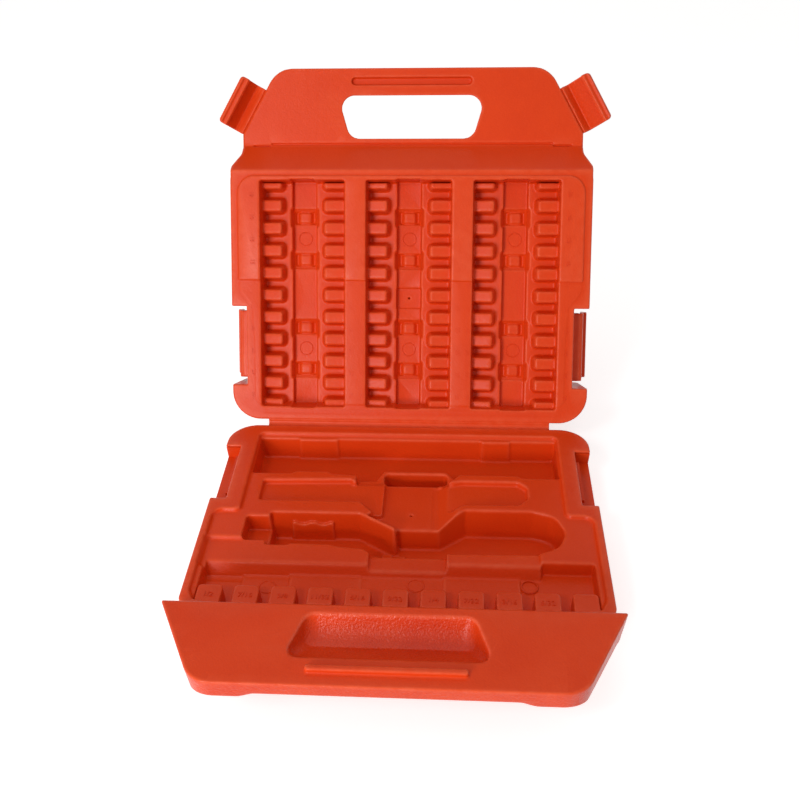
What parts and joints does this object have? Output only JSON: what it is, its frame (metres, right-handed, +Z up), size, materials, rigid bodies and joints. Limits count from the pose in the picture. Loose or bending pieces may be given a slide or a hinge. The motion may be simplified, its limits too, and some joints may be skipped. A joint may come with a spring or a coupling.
{
  "type": "drill carrying case",
  "caption": "Open moulded carrying case for drill bits: base with shaped tray, hinged lid with bit rack, carrying handle halves and fold-over latches.",
  "frame": {"origin": "centre of the base's flat underside, below the middle of the tray", "axes": "+X to the right, +Y from the handle to the hinge, +Z up"},
  "size_m": [0.2767, 0.3967, 0.2477],
  "materials": {
    "orange_polyethylene": "satin moulded polyethylene with a fine grain"
  },
  "bodies": {
    "base": {"base_outer_shell": "orange_polyethylene", "base_tray": "orange_polyethylene", "drill_tabs": "orange_polyethylene", "base_handle_face": "orange_polyethylene", "base_handle_underside": "orange_polyethylene", "hinge_web_base_leaf": "orange_polyethylene"},
    "lid": {"lid_outer_shell": "orange_polyethylene", "lid_rack": "orange_polyethylene", "rack_teeth_left": "orange_polyethylene", "rack_teeth_middle": "orange_polyethylene", "rack_teeth_right": "orange_polyethylene", "lid_handle_face": "orange_polyethylene", "lid_handle_back": "orange_polyethylene", "hinge_web_lid_leaf": "orange_polyethylene"},
    "handle_latch_left": {"handle_latch_left": "orange_polyethylene"},
    "handle_latch_right": {"handle_latch_right": "orange_polyethylene"},
    "side_latch_left": {"side_latch_left": "orange_polyethylene"},
    "side_latch_right": {"side_latch_right": "orange_polyethylene"}
  },
  "joints": [
    {"name": "lid_hinge", "type": "hinge", "parent": "base", "child": "lid", "pos_m": [0, 0.09, 0.0302], "axis": [1, 0, 0], "range_deg": [-63.7, 116.27]},
    {"name": "handle_latch_left_fold", "type": "hinge", "parent": "lid", "child": "handle_latch_left", "pos_m": [-0.12291, 0.20422, 0.20467], "axis": [0.4806, 0.3881, 0.7864], "range_deg": [-67, 26]},
    {"name": "handle_latch_right_fold", "type": "hinge", "parent": "lid", "child": "handle_latch_right", "pos_m": [0.12291, 0.20422, 0.20467], "axis": [0.4806, -0.3881, -0.7864], "range_deg": [-41, 52]},
    {"name": "side_latch_left_fold", "type": "hinge", "parent": "lid", "child": "side_latch_left", "pos_m": [-0.1218, 0.12743, 0.07395], "axis": [0, 0.4426, 0.8967], "range_deg": [-4, 172]},
    {"name": "side_latch_right_fold", "type": "hinge", "parent": "lid", "child": "side_latch_right", "pos_m": [0.1218, 0.12743, 0.07395], "axis": [0, -0.4426, -0.8967], "range_deg": [-4, 172]}
  ]
}
